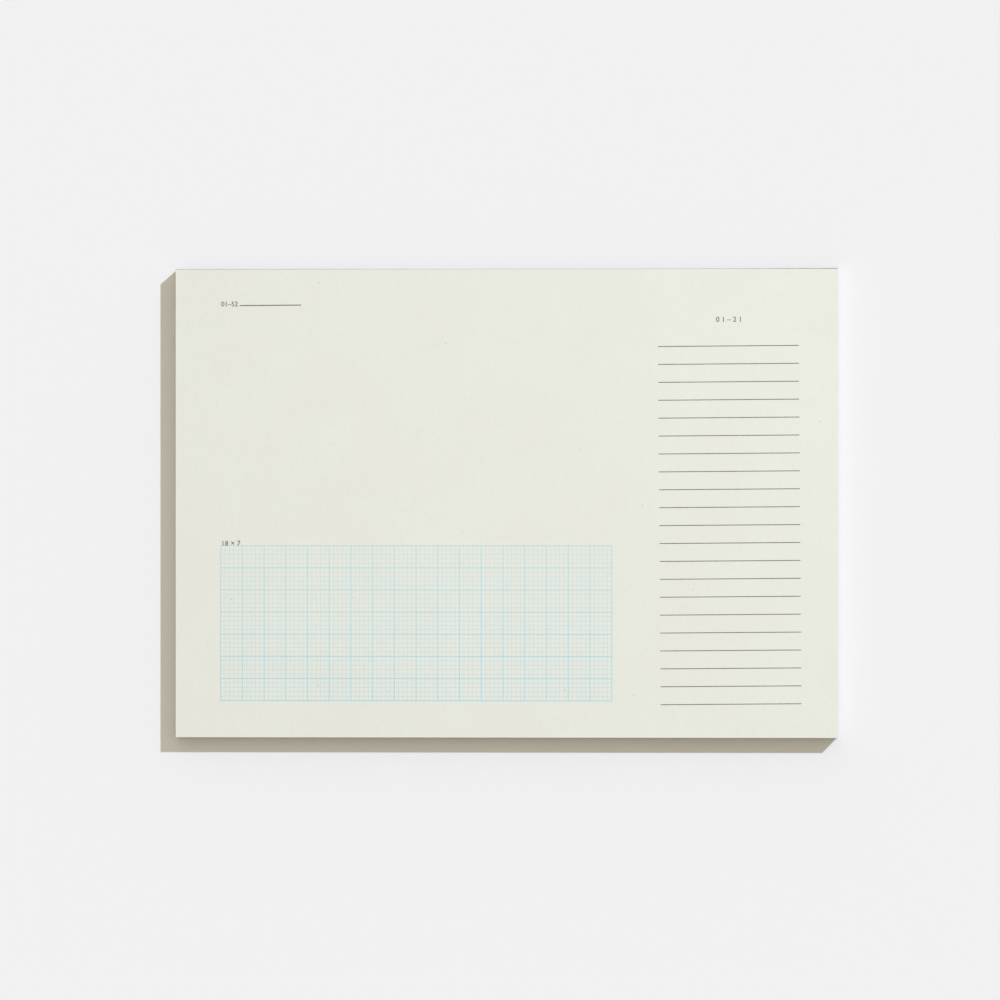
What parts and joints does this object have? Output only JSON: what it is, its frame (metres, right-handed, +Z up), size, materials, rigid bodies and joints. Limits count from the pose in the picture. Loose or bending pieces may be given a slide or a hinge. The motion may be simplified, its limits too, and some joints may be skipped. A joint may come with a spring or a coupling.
{
  "type": "desk notepad",
  "caption": "Landscape desk notepad: tear-off sheets on a greyboard back, gummed along the head edge, printed with a ruled task list, a short rule and a squared notes panel.",
  "frame": {"origin": "centre of the backing board's underside, on the surface that the pad lies on", "axes": "+X to the reader's right along the long side, +Y towards the gummed head edge, +Z up out of the printed page"},
  "size_m": [0.297, 0.2103, 0.0078],
  "materials": {
    "paper": "uncoated off-white writing paper, matt",
    "greyboard": "uncoated greyboard, matt",
    "gum": "dried padding gum, brushed, dull",
    "brown_ink": "brown printing ink soaked into uncoated paper",
    "fine_blue_lines": "paper under fine pale blue lines",
    "blue_ink": "pale blue printing ink soaked into uncoated paper"
  },
  "bodies": {
    "root": {"backing_board": "greyboard", "sheet_block": "paper", "binding_gum": "gum", "notes_field": "fine_blue_lines", "notes_grid": "blue_ink", "week_rule": "brown_ink", "task_rule_01": "brown_ink", "task_rule_02": "brown_ink", "task_rule_03": "brown_ink", "task_rule_04": "brown_ink", "task_rule_05": "brown_ink", "task_rule_06": "brown_ink", "task_rule_07": "brown_ink", "task_rule_08": "brown_ink", "task_rule_09": "brown_ink", "task_rule_10": "brown_ink", "task_rule_11": "brown_ink", "task_rule_12": "brown_ink", "task_rule_13": "brown_ink", "task_rule_14": "brown_ink", "task_rule_15": "brown_ink", "task_rule_16": "brown_ink", "task_rule_17": "brown_ink", "task_rule_18": "brown_ink", "task_rule_19": "brown_ink", "task_rule_20": "brown_ink", "task_rule_21": "brown_ink"}
  },
  "joints": []
}
